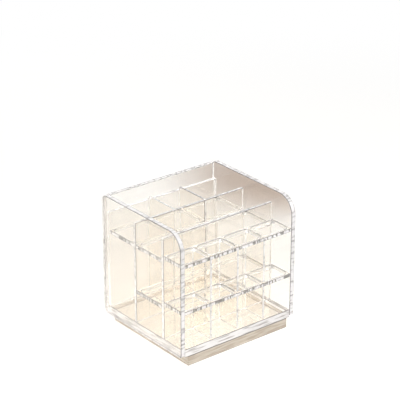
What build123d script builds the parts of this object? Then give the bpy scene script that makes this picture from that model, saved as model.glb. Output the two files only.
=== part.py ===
from build123d import *
import os

# Clear acrylic makeup storage box glued up from flat sheets.
# Millimetres, +Z up, front towards -Y, origin at the middle of the footprint on the table.

# Outer shell
box_width = 120.0
box_depth = 105.0
side_height = 109.0
panel_thickness = 4.25
front_top_radius = 16.0
front_bottom_radius = 3.0
back_corner_radius = 5.5
back_edge_share = 0.94

# Base
floor_thickness = 7.1
plinth_height = 8.6
plinth_side_inset = 7.2
plinth_back_inset = 4.25

# Upright sheets inside
divider_thickness = 3.0
divider_height = 90.5
partition_thickness = 2.0
partition_setback = 1.5
front_row_depth = 24.5
middle_row_share = 0.506
rear_centre_width = 30.0
liner_height = 87.2

# Horizontal plates inside; a level is the height of a plate's top above the floor
plate_thickness = 3.2
upper_level = 75.3
rim_drop = 4.0
lower_level = 33.9
grid_bar_width = 2.2
grid_front_rim = 2.6
grid_back_rim = 1.8
grid_hole_radius = 4.0
mouth_rim_width = 1.6
mouth_radius = 5.0
cut_corner_share = 0.45

# Cells across the width of the front row
front_columns = 4

# Extra length by which every cut passes through its plate
cut_overrun = 1.0

# Places worked out from the sizes above
half_width = box_width / 2
inner_half = half_width - panel_thickness
inner_width = 2 * inner_half
front_y = -box_depth / 2
back_y = box_depth / 2
back_panel_y = back_y - panel_thickness
shell_z = plinth_height
shell_top = shell_z + side_height
floor_top = shell_z + floor_thickness
divider_top = floor_top + divider_height
liner_top = floor_top + liner_height
upper_top = floor_top + upper_level
upper_under = upper_top - plate_thickness
lower_top = floor_top + lower_level
lower_under = lower_top - plate_thickness
upper_rim_top = upper_top - rim_drop
lower_rim_top = lower_top - rim_drop

# The rows, from front to back; the middle and rear rows share what the front row leaves
front_divider_y = front_y + front_row_depth
middle_row_y = front_divider_y + divider_thickness
rear_liner_y = back_panel_y - divider_thickness
shared_depth = rear_liner_y - middle_row_y - divider_thickness
middle_divider_y = middle_row_y + middle_row_share * shared_depth
rear_row_y = middle_divider_y + divider_thickness

front_pitch = inner_width / front_columns
rear_inner_half = rear_centre_width / 2
rear_outer_half = rear_inner_half + partition_thickness


def slab(low, high):
    """A box between two opposite corners."""
    size = [b - a for a, b in zip(low, high)]
    middle = [(a + b) / 2 for a, b in zip(low, high)]
    return Pos(*middle) * Box(*size)


def rounded_cut(x_mid, y_low, y_high, width, radius, z_low, z_high):
    """An upright cutter with rounded corners that passes through a plate."""
    depth = y_high - y_low
    outline = RectangleRounded(width, depth, min(radius, cut_corner_share * min(width, depth)))
    cutter = extrude(outline, amount=z_high - z_low + 2 * cut_overrun)
    return Pos(x_mid, (y_low + y_high) / 2, z_low - cut_overrun) * cutter


def round_corner(panel, top, front, radius):
    """Rounds one corner of an upright side panel, seen from the side."""
    level = panel.edges().filter_by(Axis.X).group_by(Axis.Z)[-1 if top else 0]
    corner = level.sort_by(Axis.Y)[0 if front else -1]
    return fillet(corner, radius)


def side_panel(x_low):
    """A side panel whose lower outer corner starts at x_low."""
    panel = slab((x_low, front_y, shell_z), (x_low + panel_thickness, back_y, shell_top))
    panel = round_corner(panel, True, True, front_top_radius)
    panel = round_corner(panel, True, False, back_corner_radius)
    panel = round_corner(panel, False, True, front_bottom_radius)
    return round_corner(panel, False, False, back_corner_radius)


def back_panel():
    """The back panel between the sides, with its outer edges rounded like theirs."""
    panel = slab((-inner_half, back_panel_y, shell_z), (inner_half, back_y, shell_top))
    radius = min(back_corner_radius, back_edge_share * panel_thickness)
    panel = round_corner(panel, True, False, radius)
    return round_corner(panel, False, False, radius)


def floor_plate():
    """The thick floor, from the front edge to the back panel."""
    return slab((-inner_half, front_y, shell_z), (inner_half, back_panel_y, floor_top))


def plinth_slab():
    """The slab that the box stands on."""
    half = half_width - plinth_side_inset
    return slab((-half, front_y, 0), (half, back_y - plinth_back_inset, plinth_height))


def cross_sheet(y_low, z_high):
    """An upright sheet across the whole inner width."""
    return slab((-inner_half, y_low, floor_top), (inner_half, y_low + divider_thickness, z_high))


def front_grid(z_low, z_high):
    """A plate over the front row with one rounded hole for each column."""
    plate = slab((-inner_half, front_y, z_low), (inner_half, front_divider_y, z_high))
    hole_front = front_y + grid_front_rim
    hole_back = front_divider_y - grid_back_rim
    hole_width = front_pitch - grid_bar_width
    for column in range(front_columns):
        x_mid = -inner_half + column * front_pitch + front_pitch / 2
        plate -= rounded_cut(x_mid, hole_front, hole_back, hole_width, grid_hole_radius, z_low, z_high)
    return plate


def front_partition(boundary, z_low, z_high):
    """An upright sheet under the bar between two front columns."""
    x_mid = -inner_half + boundary * front_pitch
    x_low = x_mid - partition_thickness / 2
    low = (x_low, front_y + partition_setback, z_low)
    return slab(low, (x_low + partition_thickness, front_divider_y, z_high))


def rear_partition(x_low):
    """An upright sheet between two rear compartments, from its left face."""
    low = (x_low, rear_row_y, floor_top)
    return slab(low, (x_low + partition_thickness, rear_liner_y, divider_top))


def mouth_rim(x_low, x_high, y_low, y_high, z_high):
    """A rim plate round one compartment's mouth, with its top at z_high."""
    z_low = z_high - plate_thickness
    plate = slab((x_low, y_low, z_low), (x_high, y_high, z_high))
    width = x_high - x_low - 2 * mouth_rim_width
    mouth_front = y_low + mouth_rim_width
    mouth_back = y_high - mouth_rim_width
    x_mid = (x_low + x_high) / 2
    return plate - rounded_cut(x_mid, mouth_front, mouth_back, width, mouth_radius, z_low, z_high)


def middle_rim(z_high):
    """The rim plate round the long middle compartment."""
    return mouth_rim(-inner_half, inner_half, middle_row_y, middle_divider_y, z_high)


def rear_rim(x_low, x_high):
    """The rim plate that fills one rear compartment between its walls."""
    return mouth_rim(x_low, x_high, rear_row_y, rear_liner_y, upper_rim_top)


pieces = {
    "plinth_slab": plinth_slab(),
    "floor_plate": floor_plate(),
    "left_side_panel": side_panel(-half_width),
    "right_side_panel": side_panel(inner_half),
    "back_panel": back_panel(),
    "front_divider": cross_sheet(front_divider_y, divider_top),
    "middle_divider": cross_sheet(middle_divider_y, divider_top),
    "rear_liner": cross_sheet(rear_liner_y, liner_top),
    "upper_front_grid": front_grid(upper_under, upper_top),
    "lower_front_grid": front_grid(lower_under, lower_top),
    "upper_middle_rim": middle_rim(upper_rim_top),
    "lower_middle_rim": middle_rim(lower_rim_top),
    "rear_partition_left": rear_partition(-rear_outer_half),
    "rear_partition_right": rear_partition(rear_inner_half),
    "rear_rim_left": rear_rim(-inner_half, -rear_outer_half),
    "rear_rim_centre": rear_rim(-rear_inner_half, rear_inner_half),
    "rear_rim_right": rear_rim(rear_outer_half, inner_half),
}

for boundary, side in enumerate(("left", "centre", "right"), start=1):
    pieces[f"front_partition_lower_{side}"] = front_partition(boundary, floor_top, lower_under)
    pieces[f"front_partition_upper_{side}"] = front_partition(boundary, lower_top, upper_under)

os.makedirs("parts", exist_ok=True)
for name, piece in pieces.items():
    export_step(piece, f"parts/{name}.step")
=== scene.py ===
import math

import bmesh
import bpy
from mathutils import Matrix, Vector


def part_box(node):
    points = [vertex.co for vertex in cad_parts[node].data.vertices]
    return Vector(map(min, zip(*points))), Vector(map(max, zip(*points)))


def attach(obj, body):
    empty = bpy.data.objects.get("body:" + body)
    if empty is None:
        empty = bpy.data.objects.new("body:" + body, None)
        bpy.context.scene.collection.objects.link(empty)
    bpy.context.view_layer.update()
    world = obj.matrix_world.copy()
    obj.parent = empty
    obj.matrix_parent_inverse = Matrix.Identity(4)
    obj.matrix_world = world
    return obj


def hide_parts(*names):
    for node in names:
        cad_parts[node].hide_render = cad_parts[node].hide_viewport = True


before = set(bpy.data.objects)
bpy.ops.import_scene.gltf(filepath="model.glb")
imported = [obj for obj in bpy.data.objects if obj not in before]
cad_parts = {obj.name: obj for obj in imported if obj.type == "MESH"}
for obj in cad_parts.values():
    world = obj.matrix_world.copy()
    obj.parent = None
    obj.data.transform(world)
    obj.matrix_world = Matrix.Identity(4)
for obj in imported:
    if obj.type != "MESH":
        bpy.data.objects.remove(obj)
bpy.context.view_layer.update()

# Clear acrylic makeup storage box: every sheet is rebuilt with polished, rounded edges
# in the place of its CAD node. Metres, in the CAD frame.

MM = 0.001

# Corner radii and cuts of the sheets, as the CAD has them
FRONT_TOP_RADIUS = 16.0 * MM
FRONT_BOTTOM_RADIUS = 3.0 * MM
BACK_RADIUS = 5.5 * MM
BACK_EDGE_SHARE = 0.94
GRID_HOLE_RADIUS = 4.0 * MM
GRID_BAR = 2.2 * MM
GRID_FRONT_RIM = 2.6 * MM
GRID_BACK_RIM = 1.8 * MM
MOUTH_RIM = 1.6 * MM
MOUTH_RADIUS = 5.0 * MM
FRONT_COLUMNS = 4

# Polished edges
EDGE_ROUND = 0.42 * MM
SHARP_CORNER = 0.7 * MM
GLUE_GAP = 0.02 * MM
ARC_STEPS = 14
ROUND_STEPS = 4

# Material slots of every sheet, and how squarely a face has to lie to a direction
FACE, ARRIS, EDGE, SEAM = range(4)
SQUARE_FACING = 0.99

# Acrylic; a shade is what a lamp's light keeps on its way through a surface
ACRYLIC_IOR = 1.49
FACE_ROUGHNESS = 0.01
FACE_CLEAR = 1.0
FACE_SHADE = (0.985, 0.98, 0.97)
EDGE_ROUGHNESS = 0.12
EDGE_CLEAR = 0.35
EDGE_SHADE = (0.85, 0.84, 0.83)
ARRIS_CLEAR = 0.3
SEAM_CLEAR = 0.8
SHEET_TINT = (0.966, 0.947, 0.918)
BASE_TINT = (0.885, 0.862, 0.832)
# The greys of the rounded corners are painted shade: the thin lines that clear edges show
ARRIS_PAINTED_SHADE = (0.20, 0.19, 0.19)
FAINT_ARRIS_PAINTED_SHADE = (0.72, 0.70, 0.69)
SEAM_COLOUR = (0.95, 0.94, 0.92)

# Faint waves of the cast faces, in waves per metre
WAVE_RATE = 45.0
WAVE_DETAIL = 1.0
WAVE_STRENGTH = 0.03
WAVE_HEIGHT = 0.05 * MM

# Dashes and streaks on the sawn edges, in dashes per metre: short dashes across a sheet's
# thickness, or long streaks along it. They bump the edges, and their dark colours are painted
# shade
DASH_RATE = 560.0
THICKNESS_RATE = 110.0
STREAK_RATE = 70.0
STREAK_ACROSS_RATE = 650.0
STREAKS = (STREAK_RATE, STREAK_RATE, STREAK_ACROSS_RATE)
MARK_DETAIL = 1.5
MARK_STRENGTH = 0.12
MARK_HEIGHT = 0.3 * MM
LILAC_WHITE = (0.96, 0.95, 0.97)
# The dark colours of the edge dashes and streaks are painted shade
UPRIGHT_PAINTED_SHADE = (0.49, 0.48, 0.48)
PLATE_PAINTED_SHADE = (0.22, 0.21, 0.20)
FLOOR_PLATE_PAINTED_SHADE = (0.50, 0.48, 0.47)
PLINTH_COLOUR = (0.77, 0.70, 0.61)
PLINTH_PAINTED_SHADE = (0.55, 0.48, 0.40)

# Studio
BLACK = (0.0, 0.0, 0.0)
WHITE = (1.0, 1.0, 1.0)
BOX_MIDDLE = (0.0, 0.0, 0.06)
FLOOR_HALF = 6.0
FLOOR_COLOUR = (0.90, 0.89, 0.87)
FLOOR_GLOW = 0.19
NEAR_FLOOR_PLACE = (0.0, 0.0, 0.0)
NEAR_FLOOR_REACH = 0.8
NEAR_FLOOR_FULL_SHARE = 0.5
# A painted warm shade on the floor behind the box, seen by all rays but the camera's
SHADE_PATCH_COLOUR = (0.35, 0.25, 0.19)
SHADE_PATCH_PLACE = (0.27, 0.20, 0.0)
SHADE_PATCH_REACH = 0.15
SHADE_PATCH_FULL_SHARE = 0.7
ROOM_STRENGTH = 0.8
HORIZON_HEIGHT = 0.05
OVERHEAD_HEIGHT = 0.5
OVERHEAD_COLOUR = (0.30, 0.31, 0.32)
SENSOR_WIDTH = 36.0
LENS = 155.3
CAMERA_PLACE = (-0.8053, -1.0084, 0.6923)
CAMERA_TILT = math.radians(65.85)
CAMERA_TURN = math.radians(-38.66)
LIGHT_BOUNCES = 96
TRANSPARENT_BOUNCES = 48


# Shapes

def corner_arc(centre, radius, start, turn):
    """Points and outward normals of a quarter circle, from angle start."""
    steps = ARC_STEPS if radius > SHARP_CORNER else ROUND_STEPS
    arc = []
    for step in range(steps + 1):
        angle = start + turn * step / steps
        normal = Vector((math.cos(angle), math.sin(angle)))
        arc.append((centre + radius * normal, normal))
    return arc


def rounded_outline(low, high, radii):
    """A rounded rectangle, counter-clockwise from the low corner, one radius for each corner."""
    quarter = math.pi / 2
    inward = ((1, 1), (-1, 1), (-1, -1), (1, -1))
    corners = (low, (high[0], low[1]), high, (low[0], high[1]))
    outline = []
    for index, (corner, sign, radius) in enumerate(zip(corners, inward, radii)):
        centre = Vector((corner[0] + sign[0] * radius, corner[1] + sign[1] * radius))
        outline += corner_arc(centre, radius, math.pi + index * quarter, quarter)
    return outline


def hole_outline(low, high, radius):
    """The wall of a hole: its normals point into the hole, away from the sheet."""
    return [(point, -normal) for point, normal in rounded_outline(low, high, (radius,) * 4)]


def plain_outline(low, high):
    """A square-cornered sheet, with its corners just broken."""
    return [rounded_outline(low, high, (SHARP_CORNER,) * 4)]


def side_outline(low, high):
    """A side panel seen from the side: u runs to the back, v up."""
    radii = (FRONT_BOTTOM_RADIUS, BACK_RADIUS, BACK_RADIUS, FRONT_TOP_RADIUS)
    return [rounded_outline(low, high, radii)]


def back_outline(low, high):
    """The back panel seen from the side, with its outer edges rounded like the side panels."""
    radius = min(BACK_RADIUS, BACK_EDGE_SHARE * (high[0] - low[0]) - SHARP_CORNER)
    return [rounded_outline(low, high, (SHARP_CORNER, radius, radius, SHARP_CORNER))]


def grid_outlines(low, high):
    """The front grid's rim and its row of rounded holes."""
    pitch = (high[0] - low[0]) / FRONT_COLUMNS
    outlines = plain_outline(low, high)
    for column in range(FRONT_COLUMNS):
        left = low[0] + column * pitch + GRID_BAR / 2
        hole_low = (left, low[1] + GRID_FRONT_RIM)
        hole_high = (left + pitch - GRID_BAR, high[1] - GRID_BACK_RIM)
        outlines.append(hole_outline(hole_low, hole_high, GRID_HOLE_RADIUS))
    return outlines


def mouth_outlines(low, high):
    """A rim plate and its one rounded mouth."""
    hole_low = (low[0] + MOUTH_RIM, low[1] + MOUTH_RIM)
    hole_high = (high[0] - MOUTH_RIM, high[1] - MOUTH_RIM)
    return plain_outline(low, high) + [hole_outline(hole_low, hole_high, MOUTH_RADIUS)]


def edge_profile(half_thickness):
    """Inset, height and slope angle of each ring of a rounded edge, from top to bottom."""
    rings = []
    for step in range(ROUND_STEPS + 1):
        angle = math.pi / 2 * (1 - step / ROUND_STEPS)
        inset = EDGE_ROUND * (1 - math.cos(angle))
        height = half_thickness - EDGE_ROUND * (1 - math.sin(angle))
        rings.append((inset, height, angle))
    return rings + [(inset, -height, -angle) for inset, height, angle in reversed(rings)]


def along(axis, u, v, w):
    """A point from sheet coordinates: w runs along the sheet's own axis."""
    return Vector({"X": (w, u, v), "Y": (u, w, v), "Z": (u, v, w)}[axis])


def is_glued(normal, glued):
    """Whether an edge that faces along normal is glued; glued lists sides such as -Z."""
    for side in glued.split():
        sign = -1 if side[0] == "-" else 1
        if sign * normal["XYZ".index(side[1])] > SQUARE_FACING:
            return True
    return False


def edge_slot(normal, level, hole, broad, glued):
    """The material slot of one face of a sheet's edge."""
    if is_glued(normal, glued) or hole and level >= ROUND_STEPS:
        return SEAM
    if level != ROUND_STEPS:
        return ARRIS
    return FACE if abs(normal["XYZ".index(broad)]) > SQUARE_FACING else EDGE


def sheet_mesh(name, axis, broad, glued, outlines, w_low, w_high):
    """A closed sheet with rounded edges; the first outline is its rim, the others its holes."""
    bm = bmesh.new()
    normals = []
    middle = (w_low + w_high) / 2
    caps = {0: [], -1: []}
    for number, outline in enumerate(outlines):
        rings = []
        for inset, height, angle in edge_profile((w_high - w_low) / 2):
            ring = []
            for point, normal in outline:
                place = point - inset * normal
                ring.append(bm.verts.new(along(axis, place.x, place.y, middle + height)))
                flat = math.cos(angle) * normal
                normals.append(along(axis, flat.x, flat.y, math.sin(angle)))
            rings.append(ring)
        for level, (upper, lower) in enumerate(zip(rings, rings[1:])):
            for i, (_, normal) in enumerate(outline):
                face = bm.faces.new((upper[i - 1], upper[i], lower[i], lower[i - 1]))
                facing = (normal + outline[i - 1][1]).normalized()
                facing = along(axis, facing.x, facing.y, 0.0)
                face.material_index = edge_slot(facing, level, number > 0, broad, glued)
        for end in caps:
            ring = rings[end]
            caps[end] += [bm.edges.get((ring[i - 1], ring[i])) for i in range(len(ring))]
    for edges in caps.values():
        cap = bmesh.ops.triangle_fill(bm, use_beauty=True, use_dissolve=False, edges=edges)
        for face in cap["geom"]:
            if isinstance(face, bmesh.types.BMFace):
                face.material_index = FACE if broad == axis else SEAM
    bm.verts.index_update()
    bmesh.ops.recalc_face_normals(bm, faces=bm.faces)
    mesh = bpy.data.meshes.new(name)
    bm.to_mesh(mesh)
    bm.free()
    mesh.polygons.foreach_set("use_smooth", [True] * len(mesh.polygons))
    mesh.normals_split_custom_set_from_vertices(normals)
    return mesh


def add_sheet(node, axis, make_outlines, materials, glued="", broad=None):
    """Builds one sheet inside its CAD node's box and puts it in the node's place."""
    low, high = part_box(node)
    low += Vector((GLUE_GAP,) * 3)
    high -= Vector((GLUE_GAP,) * 3)
    u, v, w = {"X": (1, 2, 0), "Y": (0, 2, 1), "Z": (0, 1, 2)}[axis]
    outlines = make_outlines((low[u], low[v]), (high[u], high[v]))
    mesh = sheet_mesh(node, axis, broad or axis, glued, outlines, low[w], high[w])
    piece = bpy.data.objects.new(f"{node}_sheet", mesh)
    bpy.context.scene.collection.objects.link(piece)
    for material in materials:
        piece.data.materials.append(material)
    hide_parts(node)
    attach(piece, "root")


# Materials

def new_material(name):
    """An empty node material with its output node."""
    material = bpy.data.materials.new(name)
    material.use_nodes = True
    tree = material.node_tree
    tree.nodes.clear()
    return material, tree, tree.nodes.new("ShaderNodeOutputMaterial")


def mix_shaders(tree, output, share, first, second):
    """Sends a mix of two shaders to the output; share is the second one's."""
    mix = tree.nodes.new("ShaderNodeMixShader")
    tree.links.new(share, mix.inputs["Fac"])
    tree.links.new(first.outputs[0], mix.inputs[1])
    tree.links.new(second.outputs[0], mix.inputs[2])
    tree.links.new(mix.outputs[0], output.inputs["Surface"])


def colour_ramp(tree, value, low, low_colour, high, high_colour, interpolation="LINEAR"):
    """A colour that runs from one at the low value to another at the high value."""
    node = tree.nodes.new("ShaderNodeValToRGB")
    node.color_ramp.interpolation = interpolation
    first, last = node.color_ramp.elements
    first.position, first.color = low, (*low_colour, 1.0)
    last.position, last.color = high, (*high_colour, 1.0)
    tree.links.new(value, node.inputs["Fac"])
    return node.outputs["Color"]


def through_light(tree, output, shader, shade):
    """Sends the shader to the output and lets lamps shine through with a faint shade."""
    clear = tree.nodes.new("ShaderNodeBsdfTransparent")
    clear.inputs["Color"].default_value = (*shade, 1.0)
    rays = tree.nodes.new("ShaderNodeLightPath")
    mix_shaders(tree, output, rays.outputs["Is Shadow Ray"], shader, clear)


def principled(tree, colour, roughness, transmission):
    """An acrylic shader with one colour."""
    shader = tree.nodes.new("ShaderNodeBsdfPrincipled")
    shader.inputs["Base Color"].default_value = (*colour, 1.0)
    shader.inputs["Roughness"].default_value = roughness
    shader.inputs["IOR"].default_value = ACRYLIC_IOR
    shader.inputs["Transmission Weight"].default_value = transmission
    return shader


def object_noise(tree, rates, detail):
    """Noise in the object's own coordinates, with a rate per metre for each axis."""
    coordinates = tree.nodes.new("ShaderNodeTexCoord")
    mapping = tree.nodes.new("ShaderNodeMapping")
    mapping.inputs["Scale"].default_value = rates
    noise = tree.nodes.new("ShaderNodeTexNoise")
    noise.inputs["Scale"].default_value = 1.0
    noise.inputs["Detail"].default_value = detail
    tree.links.new(coordinates.outputs["Object"], mapping.inputs["Vector"])
    tree.links.new(mapping.outputs["Vector"], noise.inputs["Vector"])
    return noise.outputs["Fac"]


def add_bump(tree, shader, height, strength, distance):
    """Bumps a shader's surface by a height."""
    bump = tree.nodes.new("ShaderNodeBump")
    bump.inputs["Strength"].default_value = strength
    bump.inputs["Distance"].default_value = distance
    tree.links.new(height, bump.inputs["Height"])
    tree.links.new(bump.outputs["Normal"], shader.inputs["Normal"])


def clear_face(name, tint):
    """The broad face of a cast sheet: clear, with the faint waviness of casting."""
    material, tree, output = new_material(name)
    shader = principled(tree, tint, FACE_ROUGHNESS, FACE_CLEAR)
    waves = object_noise(tree, (WAVE_RATE,) * 3, WAVE_DETAIL)
    add_bump(tree, shader, waves, WAVE_STRENGTH, WAVE_HEIGHT)
    through_light(tree, output, shader, FACE_SHADE)
    return material


def narrow_face(name, colour, clearness):
    """A face with one plain look: a rounded corner, whose grey is painted shade and shows as a
    thin line, or a seam.
    """
    material, tree, output = new_material(name)
    shader = principled(tree, colour, EDGE_ROUGHNESS, clearness)
    through_light(tree, output, shader, EDGE_SHADE)
    return material


def edge_with_painted_shade(name, rates, pale, dark, share, blur):
    """The flat edge of a sheet: pale, with soft dashes of painted shade that also bump its
    surface.
    """
    material, tree, output = new_material(name)
    relief_and_painted_shade = object_noise(tree, rates, MARK_DETAIL)
    colour = colour_ramp(tree, relief_and_painted_shade, share, dark, share + blur, pale)
    shader = principled(tree, pale, EDGE_ROUGHNESS, EDGE_CLEAR)
    tree.links.new(colour, shader.inputs["Base Color"])
    add_bump(tree, shader, relief_and_painted_shade, MARK_STRENGTH, MARK_HEIGHT)
    through_light(tree, output, shader, EDGE_SHADE)
    return material


def dashes(axis):
    """Mark rates for dashes across the thickness of a sheet with this axis."""
    return [THICKNESS_RATE if axis == letter else DASH_RATE for letter in "XYZ"]


sheet_face = clear_face("clear_sheet", SHEET_TINT)
base_face = clear_face("clear_base", BASE_TINT)
# The rounded corners' greys are painted shade
sheet_arris_painted_shade = narrow_face("sheet_arris_painted_shade", ARRIS_PAINTED_SHADE, ARRIS_CLEAR)
faint_arris_painted_shade = narrow_face("faint_arris_painted_shade", FAINT_ARRIS_PAINTED_SHADE, ARRIS_CLEAR)
seam = narrow_face("glued_seam", SEAM_COLOUR, SEAM_CLEAR)
# Edges: pale, with dashes and streaks of painted shade
panel_edge = edge_with_painted_shade(
    "panel_edge", dashes("X"), LILAC_WHITE, UPRIGHT_PAINTED_SHADE, share=0.36, blur=0.14)
divider_edge = edge_with_painted_shade(
    "divider_edge", dashes("Y"), LILAC_WHITE, UPRIGHT_PAINTED_SHADE, share=0.36, blur=0.14)
plate_edge = edge_with_painted_shade(
    "plate_edge", dashes("Z"), LILAC_WHITE, PLATE_PAINTED_SHADE, share=0.43, blur=0.10)
floor_edge = edge_with_painted_shade(
    "floor_edge", STREAKS, LILAC_WHITE, FLOOR_PLATE_PAINTED_SHADE, share=0.36, blur=0.16)
plinth_edge = edge_with_painted_shade(
    "plinth_edge", STREAKS, PLINTH_COLOUR, PLINTH_PAINTED_SHADE, share=0.38, blur=0.28)

# What each kind of sheet wears on its face, rounded corners, sawn edges and seams
panel_look = (sheet_face, sheet_arris_painted_shade, panel_edge, seam)
back_look = (sheet_face, faint_arris_painted_shade, divider_edge, seam)
divider_look = (sheet_face, sheet_arris_painted_shade, divider_edge, seam)
partition_look = (sheet_face, faint_arris_painted_shade, panel_edge, seam)
plate_look = (sheet_face, sheet_arris_painted_shade, plate_edge, seam)
floor_look = (base_face, sheet_arris_painted_shade, floor_edge, seam)
plinth_look = (base_face, sheet_arris_painted_shade, plinth_edge, seam)


# Sheets

for side in ("left", "right"):
    add_sheet(f"{side}_side_panel", "X", side_outline, panel_look)
add_sheet("back_panel", "X", back_outline, back_look, broad="Y")
add_sheet("floor_plate", "Z", plain_outline, floor_look, glued="+Y")
add_sheet("plinth_slab", "Z", plain_outline, plinth_look)
for node in ("front_divider", "middle_divider"):
    add_sheet(node, "Y", plain_outline, divider_look, glued="-Z +X")
add_sheet("rear_liner", "Y", plain_outline, back_look, glued="-Z -X +X")
for level in ("lower", "upper"):
    add_sheet(f"{level}_front_grid", "Z", grid_outlines, plate_look, glued="+X +Y")
    add_sheet(f"{level}_middle_rim", "Z", mouth_outlines, plate_look, glued="+X -Y +Y")
    for side in ("left", "centre", "right"):
        node = f"front_partition_{level}_{side}"
        add_sheet(node, "X", plain_outline, partition_look, glued="+Y -Z +Z")
add_sheet("rear_rim_left", "Z", mouth_outlines, plate_look, glued="-Y +Y +X")
for side in ("centre", "right"):
    add_sheet(f"rear_rim_{side}", "Z", mouth_outlines, plate_look, glued="-Y +Y -X +X")
add_sheet("rear_partition_left", "X", plain_outline, partition_look, glued="-Y +Y -Z")
add_sheet("rear_partition_right", "X", plain_outline, panel_look, glued="+Y -Z")


# Studio

def math_node(tree, operation, first):
    """A calculation node with its first value linked, and its free second input."""
    node = tree.nodes.new("ShaderNodeMath")
    node.operation = operation
    tree.links.new(first, node.inputs[0])
    return node.outputs[0], node.inputs[1]


def round_patch(tree, place, reach, outside, inside, full_share):
    """A colour that changes softly from outside to inside a round patch of the floor."""
    coordinates = tree.nodes.new("ShaderNodeTexCoord")
    mapping = tree.nodes.new("ShaderNodeMapping")
    mapping.vector_type = "TEXTURE"
    mapping.inputs["Location"].default_value = place
    mapping.inputs["Scale"].default_value = (reach, reach, reach)
    ball = tree.nodes.new("ShaderNodeTexGradient")
    ball.gradient_type = "SPHERICAL"
    tree.links.new(coordinates.outputs["Object"], mapping.inputs["Vector"])
    tree.links.new(mapping.outputs["Vector"], ball.inputs["Vector"])
    return colour_ramp(tree, ball.outputs["Fac"], 0.0, outside, full_share, inside, "EASE")


def seen_rays(tree):
    """The light path node, and a socket that is 1 for what is seen directly, mirrored
    or through the acrylic."""
    rays = tree.nodes.new("ShaderNodeLightPath")
    seen = rays.outputs["Is Camera Ray"]
    for kind in ("Is Glossy Ray", "Is Transmission Ray"):
        seen, other = math_node(tree, "MAXIMUM", seen)
        tree.links.new(rays.outputs[kind], other)
    return rays, seen


def floor_material():
    """Pale with a soft shadow near the box and white far from it; what is seen through the
    acrylic and in reflections shows a painted warm shade on the floor behind the box."""
    material, tree, output = new_material("pale_floor")
    nodes, links = tree.nodes, tree.links
    rays, seen = seen_rays(tree)
    colour = nodes.new("ShaderNodeMix")
    colour.data_type = "RGBA"
    links.new(rays.outputs["Is Camera Ray"], colour.inputs["Factor"])
    # The painted warm shade behind the box, for all rays but the camera's
    painted_warm_shade = round_patch(
        tree, SHADE_PATCH_PLACE, SHADE_PATCH_REACH, FLOOR_COLOUR, SHADE_PATCH_COLOUR, SHADE_PATCH_FULL_SHARE)
    links.new(painted_warm_shade, colour.inputs["A"])
    colour.inputs["B"].default_value = (*FLOOR_COLOUR, 1.0)
    base = nodes.new("ShaderNodeBsdfDiffuse")
    links.new(colour.outputs["Result"], base.inputs["Color"])

    strength, glow_share = math_node(tree, "MULTIPLY", seen)
    glow_share.default_value = FLOOR_GLOW
    glow = nodes.new("ShaderNodeEmission")
    links.new(strength, glow.inputs["Strength"])
    near = nodes.new("ShaderNodeAddShader")
    links.new(base.outputs[0], near.inputs[0])
    links.new(glow.outputs[0], near.inputs[1])

    far_share, distance = math_node(tree, "MULTIPLY", seen)
    fade = round_patch(
        tree, NEAR_FLOOR_PLACE, NEAR_FLOOR_REACH, WHITE, BLACK, NEAR_FLOOR_FULL_SHARE)
    links.new(fade, distance)
    far = nodes.new("ShaderNodeEmission")
    mix_shaders(tree, output, far_share, near, far)
    return material


def pale_floor():
    """A wide floor under the box."""
    mesh = bpy.data.meshes.new("studio_floor")
    corners = ((-1, -1), (1, -1), (1, 1), (-1, 1))
    points = [(FLOOR_HALF * x, FLOOR_HALF * y, 0.0) for x, y in corners]
    mesh.from_pydata(points, [], [(0, 1, 2, 3)])
    mesh.materials.append(floor_material())
    floor = bpy.data.objects.new("studio_floor", mesh)
    bpy.context.scene.collection.objects.link(floor)


def studio_world():
    """White where it is seen; as a light, bright at the horizon and grey overhead."""
    world = bpy.data.worlds.new("studio")
    bpy.context.scene.world = world
    world.use_nodes = True
    tree = world.node_tree
    tree.nodes.clear()
    output = tree.nodes.new("ShaderNodeOutputWorld")
    coordinates = tree.nodes.new("ShaderNodeTexCoord")
    split = tree.nodes.new("ShaderNodeSeparateXYZ")
    tree.links.new(coordinates.outputs["Generated"], split.inputs[0])
    height = split.outputs["Z"]
    sky = colour_ramp(tree, height, HORIZON_HEIGHT, WHITE, OVERHEAD_HEIGHT, OVERHEAD_COLOUR)
    room = tree.nodes.new("ShaderNodeBackground")
    room.inputs["Strength"].default_value = ROOM_STRENGTH
    tree.links.new(sky, room.inputs["Color"])
    white = tree.nodes.new("ShaderNodeBackground")
    white.inputs["Color"].default_value = (*WHITE, 1.0)
    mix_shaders(tree, output, seen_rays(tree)[1], room, white)


def soft_box(name, place, size, power, colour):
    """A square area lamp that faces the middle of the box."""
    data = bpy.data.lights.new(name, "AREA")
    data.size = size
    data.energy = power
    data.color = colour
    lamp = bpy.data.objects.new(name, data)
    lamp.location = place
    towards = Vector(BOX_MIDDLE) - Vector(place)
    lamp.rotation_euler = towards.to_track_quat("-Z", "Y").to_euler()
    bpy.context.scene.collection.objects.link(lamp)


def studio_camera():
    """The camera that the photograph's edges were fitted to."""
    data = bpy.data.cameras.new("camera")
    data.sensor_width = SENSOR_WIDTH
    data.lens = LENS
    camera = bpy.data.objects.new("camera", data)
    camera.location = CAMERA_PLACE
    camera.rotation_euler = (CAMERA_TILT, 0.0, CAMERA_TURN)
    bpy.context.scene.collection.objects.link(camera)
    bpy.context.scene.camera = camera


scene = bpy.context.scene
scene.view_settings.view_transform = "Standard"
scene.cycles.max_bounces = LIGHT_BOUNCES
scene.cycles.transmission_bounces = LIGHT_BOUNCES
scene.cycles.glossy_bounces = LIGHT_BOUNCES
scene.cycles.transparent_max_bounces = TRANSPARENT_BOUNCES

pale_floor()
studio_world()
soft_box("key_box", place=(-0.9, -0.5, 1.1), size=0.8, power=12.5, colour=(1.0, 0.98, 0.95))
soft_box("fill_box", place=(0.9, -0.7, 0.8), size=0.7, power=6.5, colour=(1.0, 0.99, 0.98))
soft_box("rim_box", place=(0.3, 1.2, 1.0), size=0.9, power=7.0, colour=WHITE)
studio_camera()
